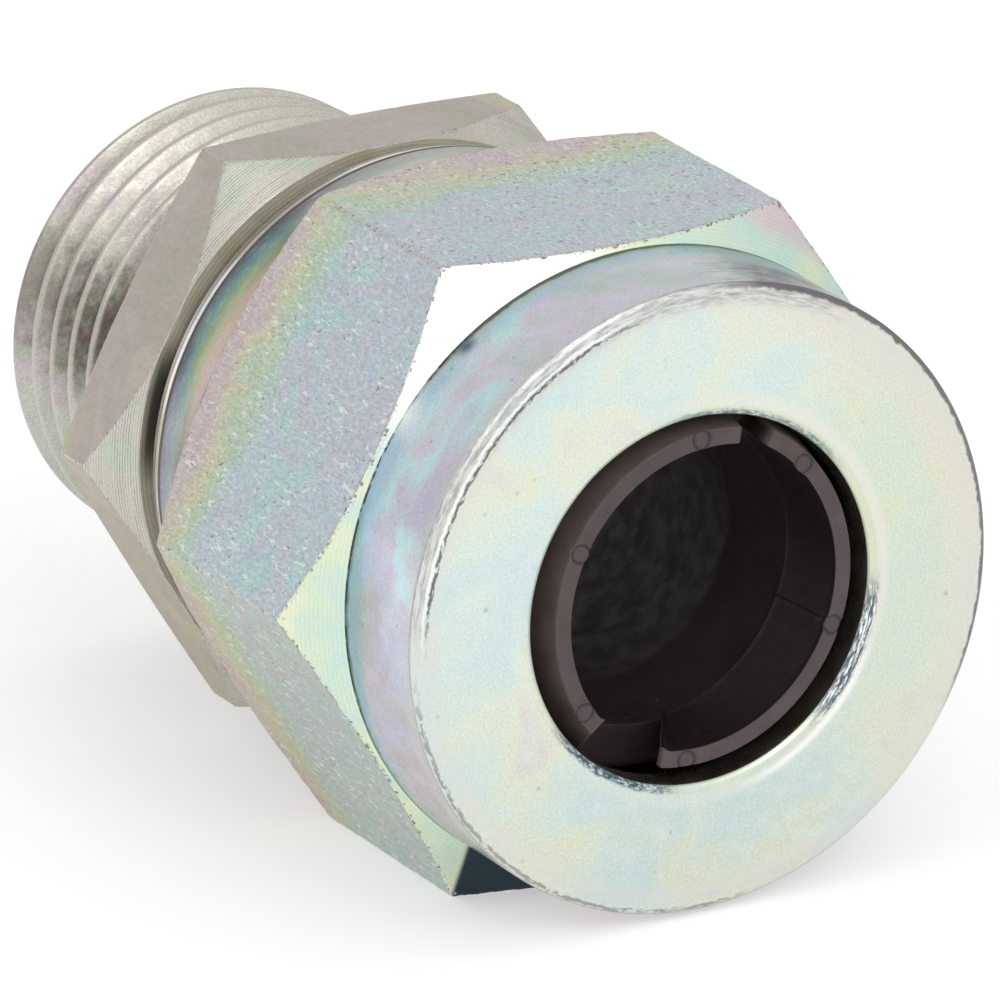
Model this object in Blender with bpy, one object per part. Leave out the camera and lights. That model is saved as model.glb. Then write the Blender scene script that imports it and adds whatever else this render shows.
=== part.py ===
"""Straight strain-relief cord fitting: threaded steel body, gland nut, split grip ring and rubber bushing.

The fitting lies on a flat of its nut. Its axis runs along Y, the nose of the nut points to -Y, the hub thread
points to +Y and +Z is up. Profiles are lists of (radius, station) in millimetres, where the station is the
distance behind the nose face of the nut.
"""
import bpy
import bmesh
from math import cos, pi, radians, sin, sqrt, tan

MM = 0.001
SEGMENTS = 48

# Overall
LENGTH = 43.16
NUT_FLATS = 28.575
BODY_FLATS = 25.4
AXIS_HEIGHT = NUT_FLATS / 2

# Gland nut, outside
NOSE_RADIUS = 14.05
NOSE_EDGE = [(13.15, 0.0), (13.93, 0.09), (14.05, 0.22)]
SHOULDER_STATION = 5.8
NUT_CORNER_FRONT = 7.41
NUT_CORNER_BACK = 18.2
NUT_FLAT_BACK = 19.9
SKIRT = [(14.0, 20.3), (13.6, 22.4), (13.1, 24.4), (12.85, 25.25), (12.5, 25.6)]

# Gland nut, inside
MOUTH_RADIUS = 8.35
MOUTH_EDGE = 0.7
TAPER_START = 1.6
CAVITY_RADIUS = 10.2
CAVITY_START = 6.5
RIM_BORE = 11.75
RIM_BORE_START = 25.0
RIM_LEAD_IN_START = 24.1
NUT_BLANK_BACK = 28.0

# Gland thread, right hand, 18 per inch
GLAND_PITCH = 25.4 / 18
GLAND_ROOT = 10.3
GLAND_DEPTH = 0.8
GLAND_CREST_HALF = 0.09
GLAND_THREAD_START = 13.0
GLAND_TURNS = 6
NUT_MINOR = 10.55
NUT_GROOVE_HALF = 0.08
NUT_MOUTH_HALF = 0.53
NUT_TURNS = 10

# Fitting body
NECK_FRONT = 12.2
NECK_RELIEF = 10.1
HEX_FRONT = 26.7
HEX_CHAMFER_RADIUS = 12.66
HEX_CORNER_FRONT = 28.56
HEX_CORNER_BACK = 30.65
HEX_BACK = 31.25
CUP_RADIUS = 9.2
CUP_END = 18.9
SEAT_RADIUS = 8.3
SEAT_END = 22.9
BORE_RADIUS = 7.6
BORE_CHAMFER = 0.5

# Hub thread, 1/2-14 NPT
HUB_PITCH = 25.4 / 14
HUB_END_ROOT = 9.34
HUB_DEPTH = 1.15
HUB_TAPER = 1 / 32
HUB_CREST_HALF = 0.16
HUB_ROOT_HALF = 0.80
HUB_START = 31.6
HUB_STEPS = 235
HUB_COLLAR = [(10.49, 42.8), (10.49, 43.06), (10.39, LENGTH)]

# Grip ring
RING_FRONT = 0.15
RING_BACK = 4.35
RING_INNER = 7.0
RING_FACE = 7.75
RING_SKIRT = 8.7
RING_LEFT_CENTRE = (0.75, -0.24)
RING_RIGHT_CENTRE = (-0.36, 0.35)
RING_LEFT_SPAN = (219.0, 74.0)
RING_RIGHT_SPAN = (62.0, -103.0)
WEB_FRONT = 1.6

# Sealing bushing
BUSHING_FRONT = 4.75
BUSHING_BACK = 21.0
BUSHING_HEAD = 9.6
BUSHING_BODY = 8.9
BUSHING_TIP = 7.9
BUSHING_BORE = 6.5


def clear_scene():
    """Remove every object already in the file."""
    for thing in list(bpy.data.objects):
        bpy.data.objects.remove(thing, do_unlink=True)


def make_material(name, colour, roughness, metallic):
    """Principled material with one colour."""
    material = bpy.data.materials.new(name)
    material.use_nodes = True
    shader = material.node_tree.nodes["Principled BSDF"]
    shader.inputs["Base Color"].default_value = (*colour, 1.0)
    shader.inputs["Roughness"].default_value = roughness
    shader.inputs["Metallic"].default_value = metallic
    return material


def zinc_plate():
    return make_material("zinc_plate", (0.62, 0.66, 0.63), 0.35, 1.0)


def brown_plastic():
    return make_material("brown_plastic", (0.05, 0.035, 0.03), 0.45, 0.0)


def black_rubber():
    return make_material("black_rubber", (0.015, 0.015, 0.015), 0.7, 0.0)


def point(bm, radius, turn, station, centre=(0.0, 0.0)):
    """Vertex at an angle from +Z towards +X; the fitting's axis is the local Y axis."""
    x = centre[0] + radius * sin(turn)
    z = centre[1] + radius * cos(turn)
    return bm.verts.new((x * MM, (station - LENGTH / 2) * MM, z * MM))


def step_angle(index):
    return 2 * pi * (index % SEGMENTS) / SEGMENTS


def hex_radius(index, flats):
    """Distance from the axis to a hexagon's outline; one flat faces straight up."""
    turn = step_angle(index) % (pi / 3)
    if turn > pi / 6:
        turn -= pi / 3
    return flats / 2 / cos(turn)


def ring(bm, radius, station):
    """Round loop of vertices."""
    return [point(bm, radius, step_angle(i), station) for i in range(SEGMENTS)]


def rings(bm, profile):
    return [ring(bm, radius, station) for radius, station in profile]


def hex_ring(bm, flats, radius_at, station_at, slope):
    """Loop round a hexagon where a turned cone cuts its flats and corners."""
    loop = []
    for i in range(SEGMENTS):
        radius = hex_radius(i, flats)
        loop.append(point(bm, radius, step_angle(i), station_at + (radius - radius_at) * slope))
    return loop


def bridge(bm, first, second):
    """Quads between two loops of the same length."""
    count = len(first)
    for i in range(count):
        j = (i + 1) % count
        bm.faces.new((first[i], first[j], second[j], second[i]))


def bridge_all(bm, loops):
    for first, second in zip(loops, loops[1:]):
        bridge(bm, first, second)


def arc(centre_radius, centre_station, size, start, end, steps):
    """Points of a quarter-round edge, angles in degrees from the outward radial direction."""
    points = []
    for i in range(steps + 1):
        turn = radians(start + (end - start) * i / steps)
        points.append((centre_radius + size * cos(turn), centre_station + size * sin(turn)))
    return points


def thread_fade(step, steps):
    """Height factor of the thread, rising over the first and last sixth of a turn."""
    run = SEGMENTS / 6
    return max(0.0, min(1.0, step / run, (steps - step) / run))


def add_thread(bm, front, back, start, pitch, steps, base_half, top_half, depth, base_radius):
    """Right-hand helical ridge between two loops, standing out by depth from base_radius(station)."""
    def base_vertex(step):
        if step == 0:
            return front[0]
        if step == steps + SEGMENTS:
            return back[step % SEGMENTS]
        station = start + pitch * step / SEGMENTS
        return point(bm, base_radius(station), step_angle(step), station)

    base = [base_vertex(step) for step in range(steps + SEGMENTS + 1)]
    offsets = [(base_half - top_half, 1.0), (base_half + top_half, 1.0), (2 * base_half, 0.0)]
    rows = []
    for step in range(steps + 1):
        row = [base[step]]
        for offset, height in offsets:
            station = start + pitch * step / SEGMENTS + offset
            radius = base_radius(station) + depth * height * thread_fade(step, steps)
            row.append(point(bm, radius, step_angle(step), station))
        row.append(base[step + SEGMENTS])
        rows.append(row)
    for low, high in zip(rows, rows[1:]):
        for j in range(4):
            bm.faces.new((low[j], high[j], high[j + 1], low[j + 1]))
    close_thread_end(bm, front, base[:SEGMENTS + 1], rows[0])
    turned_back = [back[(steps - i) % SEGMENTS] for i in range(SEGMENTS)]
    close_thread_end(bm, turned_back, base[steps:][::-1], rows[-1][::-1])


def close_thread_end(bm, loop, base, row):
    """Wedge of faces between a round loop and the first or last turn of a thread."""
    last = SEGMENTS - 1
    bm.faces.new((base[0], loop[1], base[1]))
    for i in range(1, last):
        bm.faces.new((loop[i], loop[i + 1], base[i + 1], base[i]))
    for near, far in zip(row, row[1:]):
        bm.faces.new((loop[last], near, far))
    bm.faces.new((loop[last], base[SEGMENTS], base[last]))


def finish_object(bm, name, material):
    """Turn the mesh into a named object standing on the fitting's axis."""
    bmesh.ops.recalc_face_normals(bm, faces=bm.faces)
    mesh = bpy.data.meshes.new(name)
    bm.to_mesh(mesh)
    bm.free()
    mesh.materials.append(material)
    mesh.shade_smooth()
    mesh.set_sharp_from_angle(angle=radians(24))
    thing = bpy.data.objects.new(name, mesh)
    thing.location = (0.0, 0.0, AXIS_HEIGHT * MM)
    bpy.context.scene.collection.objects.link(thing)
    return thing


def gland_nut(material):
    """Gland nut: round nose, hexagon cut by turned cones, back skirt, tapered mouth and internal thread."""
    bm = bmesh.new()
    corner = NUT_FLATS / sqrt(3)
    front_slope = (NUT_CORNER_FRONT - SHOULDER_STATION) / (corner - NOSE_RADIUS)
    back_slope = (NUT_CORNER_BACK - NUT_FLAT_BACK) / (corner - NUT_FLATS / 2)
    outside = rings(bm, NOSE_EDGE + [(NOSE_RADIUS, SHOULDER_STATION)])
    outside.append(hex_ring(bm, NUT_FLATS, NOSE_RADIUS, SHOULDER_STATION, front_slope))
    outside.append(hex_ring(bm, NUT_FLATS, NUT_FLATS / 2, NUT_FLAT_BACK, back_slope))
    outside += rings(bm, SKIRT + [(SKIRT[-1][0], NUT_BLANK_BACK), (NUT_MINOR, NUT_BLANK_BACK)])

    thread_half = GLAND_CREST_HALF + GLAND_DEPTH * tan(radians(30))
    start = GLAND_THREAD_START - GLAND_PITCH + thread_half - NUT_MOUTH_HALF
    end = start + GLAND_PITCH * (NUT_TURNS + 1)
    thread_back = ring(bm, NUT_MINOR, end)
    mouth = rings(bm, [(NUT_MINOR, start), (CAVITY_RADIUS, start - 0.35), (CAVITY_RADIUS, CAVITY_START),
                       (MOUTH_RADIUS, TAPER_START)]
                  + arc(MOUTH_RADIUS + MOUTH_EDGE, MOUTH_EDGE, MOUTH_EDGE, 180, 270, 3))
    bridge_all(bm, outside + [thread_back])
    bridge_all(bm, mouth + [outside[0]])
    add_thread(bm, mouth[0], thread_back, start, GLAND_PITCH, NUT_TURNS * SEGMENTS, NUT_MOUTH_HALF,
               NUT_GROOVE_HALF, GLAND_DEPTH, lambda station: NUT_MINOR)
    nut = finish_object(bm, "gland_nut", material)
    trim = nut.modifiers.new("rim", "BOOLEAN")
    trim.operation = "DIFFERENCE"
    trim.solver = "EXACT"
    trim.object = nut_rim_cutter(material)
    return nut


def nut_rim_cutter(material):
    """Turned cutter that faces off the nut's back and bores a lead-in, so its thread opens to the back."""
    bm = bmesh.new()
    back = SKIRT[-1][1]
    loops = rings(bm, [(NUT_MINOR - 0.5, RIM_LEAD_IN_START), (RIM_BORE, RIM_BORE_START), (RIM_BORE, back),
                       (14.0, back), (14.0, NUT_BLANK_BACK + 1.0)])
    bridge_all(bm, loops)
    bm.faces.new(loops[0])
    bm.faces.new(loops[-1])
    cutter = finish_object(bm, "nut_rim_cutter", material)
    cutter.hide_render = True
    cutter.display_type = "WIRE"
    return cutter


def hub_root(station):
    """Root radius of the tapered hub thread."""
    return HUB_END_ROOT + (LENGTH - station) * HUB_TAPER


def fitting_body(material):
    """Body: neck with the gland thread, hexagon, tapered hub thread and a stepped through bore."""
    bm = bmesh.new()
    corner = BODY_FLATS / sqrt(3)
    front_slope = (HEX_CORNER_FRONT - HEX_FRONT) / (corner - HEX_CHAMFER_RADIUS)
    back_slope = (HEX_CORNER_BACK - HEX_BACK) / (corner - BODY_FLATS / 2)
    gland_end = GLAND_THREAD_START + GLAND_PITCH * (GLAND_TURNS + 1)
    hub_end = HUB_START + HUB_PITCH * (HUB_STEPS + SEGMENTS) / SEGMENTS

    neck = rings(bm, [(CUP_RADIUS + 0.4, NECK_FRONT), (GLAND_ROOT - 0.3, NECK_FRONT),
                      (GLAND_ROOT, NECK_FRONT + 0.4), (GLAND_ROOT, GLAND_THREAD_START)])
    middle = rings(bm, [(GLAND_ROOT, gland_end), (NECK_RELIEF, gland_end + 0.4),
                        (NECK_RELIEF, HEX_FRONT - 0.3), (NECK_RELIEF + 0.3, HEX_FRONT),
                        (HEX_CHAMFER_RADIUS, HEX_FRONT)])
    middle.append(hex_ring(bm, BODY_FLATS, HEX_CHAMFER_RADIUS, HEX_FRONT, front_slope))
    middle.append(hex_ring(bm, BODY_FLATS, BODY_FLATS / 2, HEX_BACK - 0.05, back_slope))
    middle += rings(bm, [(BODY_FLATS / 2 - 0.25, HEX_BACK), (hub_root(HEX_BACK), HEX_BACK),
                         (hub_root(HUB_START), HUB_START)])
    bore = rings(bm, [(hub_root(hub_end), hub_end)] + HUB_COLLAR
                 + [(BORE_RADIUS + BORE_CHAMFER, LENGTH), (BORE_RADIUS, LENGTH - BORE_CHAMFER),
                    (BORE_RADIUS, SEAT_END), (SEAT_RADIUS, SEAT_END), (CUP_RADIUS, CUP_END),
                    (CUP_RADIUS, NECK_FRONT + 0.5)])
    bridge_all(bm, neck)
    bridge_all(bm, middle)
    bridge_all(bm, bore + [neck[0]])
    thread_half = GLAND_CREST_HALF + GLAND_DEPTH * tan(radians(30))
    add_thread(bm, neck[-1], middle[0], GLAND_THREAD_START, GLAND_PITCH, GLAND_TURNS * SEGMENTS, thread_half,
               GLAND_CREST_HALF, GLAND_DEPTH, lambda station: GLAND_ROOT)
    add_thread(bm, middle[-1], bore[0], HUB_START, HUB_PITCH, HUB_STEPS, HUB_ROOT_HALF, HUB_CREST_HALF,
               HUB_DEPTH, hub_root)
    return finish_object(bm, "fitting_body", material)


def ring_section(bm, angle, centre, front, inner, face, skirt):
    """Five-cornered cross-section of the grip ring at an angle from +X towards +Z, in degrees."""
    turn = radians(90 - angle)
    corners = [(inner, front), (face, front), (skirt, RING_BACK - 0.35), (skirt - 0.3, RING_BACK),
               (inner, RING_BACK)]
    return [point(bm, radius, turn, station, centre) for radius, station in corners]


def half_sections(bm, span, centre, steps):
    """Sections of one half of the ring, from one end of its arc to the other."""
    return [ring_section(bm, span[0] + (span[1] - span[0]) * i / steps, centre, RING_FRONT, RING_INNER,
                         RING_FACE, RING_SKIRT) for i in range(steps + 1)]


def grip_ring(material):
    """Split ring: two arcs joined by a set-back web at the top, open at the bottom."""
    bm = bmesh.new()
    left = half_sections(bm, RING_LEFT_SPAN, RING_LEFT_CENTRE, 20)
    right = half_sections(bm, RING_RIGHT_SPAN, RING_RIGHT_CENTRE, 22)
    web = []
    for angle, weight in ((72.5, 0.9), (68.0, 0.5), (63.5, 0.1)):
        centre = [a * weight + b * (1 - weight) for a, b in zip(RING_LEFT_CENTRE, RING_RIGHT_CENTRE)]
        web.append(ring_section(bm, angle, centre, WEB_FRONT, RING_INNER + 0.1, RING_INNER + 0.7,
                                RING_INNER + 1.0))
    sections = left + web + right
    bridge_all(bm, sections)
    bm.faces.new(sections[0])
    bm.faces.new(sections[-1])
    return finish_object(bm, "grip_ring", material)


def sealing_bushing(material):
    """Rubber bushing: head behind the ring, barrel in the body's cup, tapered tip towards the seat."""
    bm = bmesh.new()
    loops = rings(bm, [(BUSHING_BORE + 0.3, BUSHING_FRONT), (8.7, BUSHING_FRONT), (9.0, BUSHING_FRONT + 0.3),
                       (BUSHING_HEAD, BUSHING_FRONT + 2.2), (BUSHING_HEAD, BUSHING_FRONT + 4.0),
                       (BUSHING_BODY, BUSHING_FRONT + 5.0), (BUSHING_BODY, 17.6), (BUSHING_TIP, 20.7),
                       (BUSHING_TIP - 0.2, BUSHING_BACK), (BUSHING_BORE + 0.4, BUSHING_BACK),
                       (BUSHING_BORE, BUSHING_BACK - 0.4), (BUSHING_BORE, BUSHING_FRONT + 0.3)])
    bridge_all(bm, loops + [loops[0]])
    return finish_object(bm, "sealing_bushing", material)


clear_scene()
ZINC = zinc_plate()
fitting_body(ZINC)
gland_nut(ZINC)
grip_ring(brown_plastic())
sealing_bushing(black_rubber())
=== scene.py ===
"""Looks of a straight strain-relief cord fitting: zinc-plated body and nut, split grip ring, rubber bushing.

Lengths in the tables are millimetres. A profile is a list of (radius, station) pairs: the radius is the
distance from the fitting's axis and the station the distance behind the nose face of the nut. Angles round
the axis are measured from +Z towards +X, except the ring's, which are from +X towards +Z.
"""
from math import atan, ceil, cos, floor, pi, radians, sin, tan

import bmesh
import bpy
import numpy as np
from mathutils import Matrix, Vector, noise


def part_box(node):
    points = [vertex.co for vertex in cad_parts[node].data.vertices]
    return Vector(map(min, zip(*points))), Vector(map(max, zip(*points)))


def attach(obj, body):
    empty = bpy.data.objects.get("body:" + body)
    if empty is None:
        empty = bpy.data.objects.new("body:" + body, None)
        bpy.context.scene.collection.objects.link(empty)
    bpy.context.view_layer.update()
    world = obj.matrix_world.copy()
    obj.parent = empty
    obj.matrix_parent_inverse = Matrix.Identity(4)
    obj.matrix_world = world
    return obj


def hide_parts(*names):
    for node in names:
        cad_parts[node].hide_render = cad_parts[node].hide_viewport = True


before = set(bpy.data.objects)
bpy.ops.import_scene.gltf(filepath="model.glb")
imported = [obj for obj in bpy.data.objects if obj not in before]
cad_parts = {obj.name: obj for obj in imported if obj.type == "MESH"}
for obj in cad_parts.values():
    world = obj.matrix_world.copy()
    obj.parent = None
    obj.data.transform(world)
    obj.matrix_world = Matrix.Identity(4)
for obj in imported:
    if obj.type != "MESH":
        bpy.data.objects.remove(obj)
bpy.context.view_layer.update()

MM = 0.001
nut_low, nut_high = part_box("gland_nut")
NOSE_Y = nut_low.y / MM                       # the nose face
AXIS_Z = (nut_low.z + nut_high.z) / 2 / MM    # the fitting's axis
LENGTH = (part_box("fitting_body")[1].y - nut_low.y) / MM
NUT_FLATS = (nut_high.z - nut_low.z) / MM
BODY_FLATS = 25.4

GLAND_PITCH = 25.4 / 18
HUB_PITCH = 25.4 / 14


# ---------------------------------------------------------------- mesh building

def column_turns(per_flat=52, crowding=1.5):
    """Angles of the mesh columns, closer together at the six corners of the hexagons."""
    u = np.linspace(-1, 1, per_flat + 1)[:-1]
    local = radians(30) * np.sign(u) * (1 - (1 - np.abs(u)) ** crowding)
    return np.concatenate([local + radians(60) * k for k in range(6)])


TURNS = column_turns()
COLUMNS = len(TURNS)


def off_flat(turns):
    """Angle from the middle of the nearest hexagon flat."""
    return (turns + pi / 6) % (pi / 3) - pi / 6


def hex_outline(turns, flats, rounding):
    """Distance from the axis to a hexagon with rounded corners."""
    local = np.abs(off_flat(turns))
    inner = flats / 2 - rounding
    corner = inner / cos(pi / 6)
    beyond = pi / 6 - local
    arc = corner * np.cos(beyond) + np.sqrt(np.maximum(rounding ** 2 - (corner * np.sin(beyond)) ** 2, 0))
    return np.where(local > atan(inner * tan(pi / 6) / (flats / 2)), arc, flats / 2 / np.cos(local))


def knot(radius, station):
    """One corner of a profile for every column; either value may be a number or one number per column."""
    return np.stack([np.broadcast_to(np.asarray(v, float), (COLUMNS,)) for v in (radius, station)], axis=-1)


def rounded_profile(knots, rounding, cuts, steps=4):
    """Rows of points along a profile with rounded corners, for every column.

    Gives (points, runs): points is rows x columns x 2, and runs says for each gap between rows which straight
    run of the profile it belongs to.
    """
    arcs = []
    for k, here in enumerate(knots):
        if k in (0, len(knots) - 1) or not rounding[k]:
            arcs.append([here])
            continue
        before, after = knots[k - 1] - here, knots[k + 1] - here
        long_before = np.linalg.norm(before, axis=-1, keepdims=True)
        long_after = np.linalg.norm(after, axis=-1, keepdims=True)
        before, after = before / long_before, after / long_after
        half = np.arccos(np.clip((before * after).sum(-1, keepdims=True), -1, 1)) / 2
        reach = np.minimum(rounding[k] / np.tan(half), 0.45 * np.minimum(long_before, long_after))
        middle = before + after
        middle /= np.maximum(np.linalg.norm(middle, axis=-1, keepdims=True), 1e-9)
        centre = here + middle * reach / np.cos(half)
        first, last = here + before * reach - centre, here + after * reach - centre
        sweep = np.maximum(pi - 2 * half, 1e-6)
        arcs.append([centre + (first * np.sin((1 - i / steps) * sweep) + last * np.sin(i / steps * sweep))
                     / np.sin(sweep) for i in range(steps + 1)])
    points, runs = [], []
    for k, arc in enumerate(arcs):
        points += arc
        runs += [max(k - 1, 0) if i < (len(arc) - 1) / 2 else k for i in range(len(arc) - 1)]
        if k < len(arcs) - 1:
            for i in range(1, cuts[k]):
                w = i / cuts[k]
                w = 0.4 * w + 0.6 * (0.5 - 0.5 * cos(pi * w))
                points.append(arc[-1] * (1 - w) + arcs[k + 1][0] * w)
            runs += [k] * cuts[k]
    return np.array(points), runs


class Skin:
    """Vertices, faces and marks of one mesh built round the fitting's axis."""

    def __init__(self):
        self.vertices = []
        self.count = 0
        self.faces = []
        self.materials = []
        self.edge = []

    def add(self, points, turns, edge):
        """Add an array of (radius, station) points at given angles; gives their indices in the same shape."""
        radius, station = points[..., 0], points[..., 1]
        turns = np.broadcast_to(turns, radius.shape)
        xyz = np.stack([radius * np.sin(turns), NOSE_Y + station, AXIS_Z + radius * np.cos(turns)], axis=-1)
        self.vertices.append(xyz.reshape(-1, 3))
        self.edge.append(np.broadcast_to(edge, radius.shape).reshape(-1))
        index = np.arange(self.count, self.count + radius.size).reshape(radius.shape)
        self.count += radius.size
        return index

    def quads(self, a, b, c, d, material):
        """Faces from four index arrays; a face with a repeated corner becomes a triangle or is left out."""
        corners = np.stack([np.ravel(v) for v in (a, b, c, d)], axis=-1)
        whole = np.array([len(set(f)) == 4 for f in corners.tolist()])
        for face in corners[whole].tolist():
            self.faces.append(face)
        for face in corners[~whole].tolist():
            kept = [v for i, v in enumerate(face) if v != face[i - 1]]
            if len(set(kept)) == 3:
                self.faces.append(kept)
        self.materials += [material] * (len(self.faces) - len(self.materials))

    def strip(self, index, materials):
        """Faces between neighbouring rows of a closed grid."""
        for low, high, material in zip(index, index[1:], materials):
            self.quads(low, np.roll(low, -1), np.roll(high, -1), high, material)

    def thread(self, low_ring, high_ring, low, high, radius_at, first_centre, pitch, offsets, material,
               height_at=None):
        """Helical rows between two round loops: every row follows the thread, so its crest stays crisp."""
        per_turn = len(offsets)
        first_cell = floor((low - first_centre) / pitch) - 2
        last_cell = ceil((high - first_centre) / pitch) + 2
        cells = np.arange(first_cell, last_cell + 1)
        along = (cells[:, None] + np.array(offsets)[None, :]).ravel()
        station = first_centre + pitch * (along[:, None] + TURNS[None, :] / (2 * pi))
        inside = (station > low + 0.012) & (station < high - 0.012)
        index = np.where(station < (low + high) / 2, low_ring[None, :], high_ring[None, :])
        rows, columns = np.nonzero(inside)
        at = station[rows, columns]
        points = np.stack([radius_at(at, TURNS[columns]), at], axis=-1)
        index[rows, columns] = self.add(points, TURNS[columns], height_at(points) if height_at else 0.0)
        self.quads(index[:-1, :-1], index[:-1, 1:], index[1:, 1:], index[1:, :-1], material)
        ahead = index[per_turn:, 0]
        behind = index[:-per_turn, -1]
        self.quads(behind[:-1], ahead[:-1], ahead[1:], behind[1:], material)

    def to_object(self, name, materials):
        mesh = bpy.data.meshes.new(name)
        mesh.from_pydata(np.concatenate(self.vertices).tolist(), [], self.faces)
        mesh.transform(Matrix.Scale(MM, 4))
        for material in materials:
            mesh.materials.append(material)
        mesh.polygons.foreach_set("material_index", np.array(self.materials, np.int32))
        mark = mesh.attributes.new("edge_wear", "FLOAT", "POINT")
        mark.data.foreach_set("value", np.concatenate(self.edge).astype(np.float32))
        bm = bmesh.new()
        bm.from_mesh(mesh)
        loose = [v for v in bm.verts if not v.link_faces]
        bmesh.ops.delete(bm, geom=loose, context="VERTS")
        bmesh.ops.recalc_face_normals(bm, faces=bm.faces)
        bm.to_mesh(mesh)
        bm.free()
        mesh.shade_smooth()
        thing = bpy.data.objects.new(name, mesh)
        bpy.context.scene.collection.objects.link(thing)
        return thing


def nearness(points, corners, reach):
    """From 1 at the listed profile corners to 0 at a given distance from all of them."""
    gap = np.min([np.linalg.norm(points - c, axis=-1) for c in corners], axis=0)
    return np.clip(1 - gap / reach, 0, 1)


def corner_nearness(flats, reach):
    """From 1 on a hexagon's corner edges to 0 at a given distance along the flat."""
    gap = flats / 2 * (tan(pi / 6) - np.tan(np.abs(off_flat(TURNS))))
    return np.clip(1 - gap / reach, 0, 1)


def speckle(points, turns, size, seed):
    """Smooth noise, -1 to 1, over the surface points."""
    out = np.zeros(points.shape[:-1])
    flat = out.reshape(-1)
    radius, station = points[..., 0].ravel(), points[..., 1].ravel()
    turns = np.broadcast_to(turns, out.shape).ravel()
    x, z = radius * np.sin(turns) / size, radius * np.cos(turns) / size
    y = station / size
    for i in range(flat.size):
        flat[i] = noise.noise((x[i] + seed, y[i], z[i] - seed))
    return flat.reshape(out.shape)


# ---------------------------------------------------------------- the gland nut

FACE, NOSE, INSIDE, FLATS, CONE, SKIRT, BEAD = range(7)    # the nut's materials
NOSE_RADIUS = 14.05
SHOULDER = 5.8
NUT_BACK = 25.6
NUT_MINOR = 10.55
NUT_GROOVE = (0.55, 0.10)      # half widths of the nut's thread groove at its mouth and at its bottom
THREAD_FRONT, THREAD_BACK = 11.6, 24.38    # where the nut's thread starts and ends
CAVITY_RADIUS = 10.2
RIM_RADIUS = 11.75
LIP_RADIUS = 8.22
GLAND_DEPTH = 0.8
GLAND_START = 13.0
GLAND_CREST_HALF = 0.09
GLAND_BASE_HALF = GLAND_CREST_HALF + GLAND_DEPTH * tan(radians(30))
GLAND_CENTRE = GLAND_START + GLAND_BASE_HALF


def ridge(distance, base_half, crest_half):
    """Height, 0 to 1, of a thread ridge with rounded crest and root, by distance from its middle."""
    height = np.clip((base_half - np.abs(distance)) / (base_half - crest_half), -0.3, 1.3)
    soft = 0.07
    under = 1 - height
    top = 1 - np.logaddexp(0, under / soft) * soft + soft * np.log(2) * np.exp(-(under / 0.35) ** 2)
    low = np.logaddexp(0, top / soft) * soft
    return np.clip(low, 0, 1)


def helix_place(station, turns, centre, pitch):
    """Distance from the nearest ridge's middle, and how many turns along the thread that ridge is."""
    along = (station - centre) / pitch - turns / (2 * pi)
    whole = np.round(along)
    return (along - whole) * pitch, whole + turns / (2 * pi)


def ridge_offsets(base_half, crest_half, pitch, marks_across=9):
    """Places across one pitch for the mesh rows, crowded where a ridge bends."""
    bends = [0.0, crest_half, crest_half + 0.06, (base_half + crest_half) / 2, base_half - 0.10, base_half]
    if marks_across > 9:
        bends += [crest_half * 0.5, crest_half + 0.14]
    elif marks_across < 9:
        bends = [0.0, crest_half + 0.04, base_half]
    bends = [b for b in bends if b < pitch / 2 - 0.01]
    full = sorted({round(v, 5) for b in bends for v in (-b, b)} | {-pitch / 2})
    return [v / pitch for v in full]


def nut_thread_radius(station, turns):
    distance, at = helix_place(station, turns, GLAND_CENTRE - GLAND_PITCH, GLAND_PITCH)
    return NUT_MINOR + GLAND_DEPTH * ridge(distance, *NUT_GROOVE) * np.clip(at * 6, 0, 1)


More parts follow.
